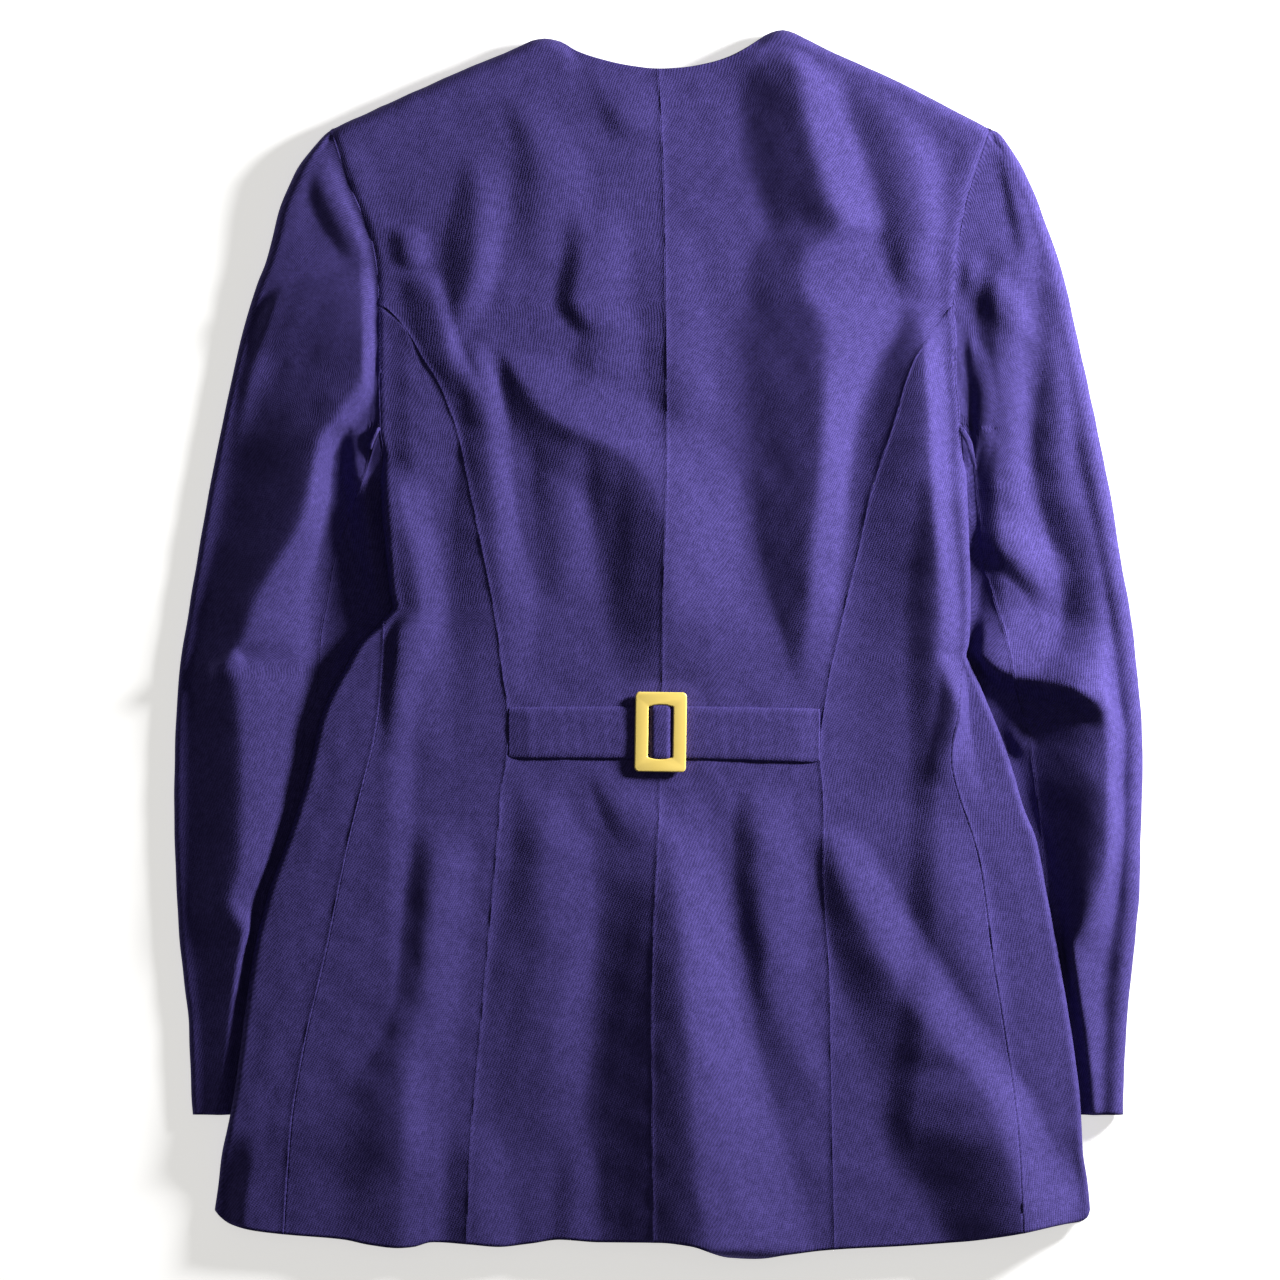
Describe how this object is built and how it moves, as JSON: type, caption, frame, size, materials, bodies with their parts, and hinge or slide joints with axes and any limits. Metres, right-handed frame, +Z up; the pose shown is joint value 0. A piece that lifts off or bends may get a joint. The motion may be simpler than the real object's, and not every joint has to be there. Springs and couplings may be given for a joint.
{
  "type": "collarless jacket",
  "caption": "Collarless fitted jacket laid flat with its back upward: princess seams, flared skirt, long sleeves and a half-belt with a rectangular buckle.",
  "frame": {"origin": "middle of the outline, on the surface that the jacket lies on", "axes": "+Y from the hem to the neck, +Z up from the surface through the back of the jacket, +X to the sleeve on the right when seen from above"},
  "size_m": [0.5806, 0.7349, 0.0292],
  "materials": {
    "cloth": "violet wool twill with a soft sheen",
    "buckle": "satin gold plating"
  },
  "bodies": {
    "root": {"back_left": "cloth", "back_right": "cloth", "side_back_left": "cloth", "side_back_right": "cloth", "front_left": "cloth", "front_right": "cloth", "top_sleeve_left": "cloth", "top_sleeve_right": "cloth", "under_sleeve_left": "cloth", "under_sleeve_right": "cloth", "half_belt": "cloth", "buckle": "buckle"}
  },
  "joints": []
}
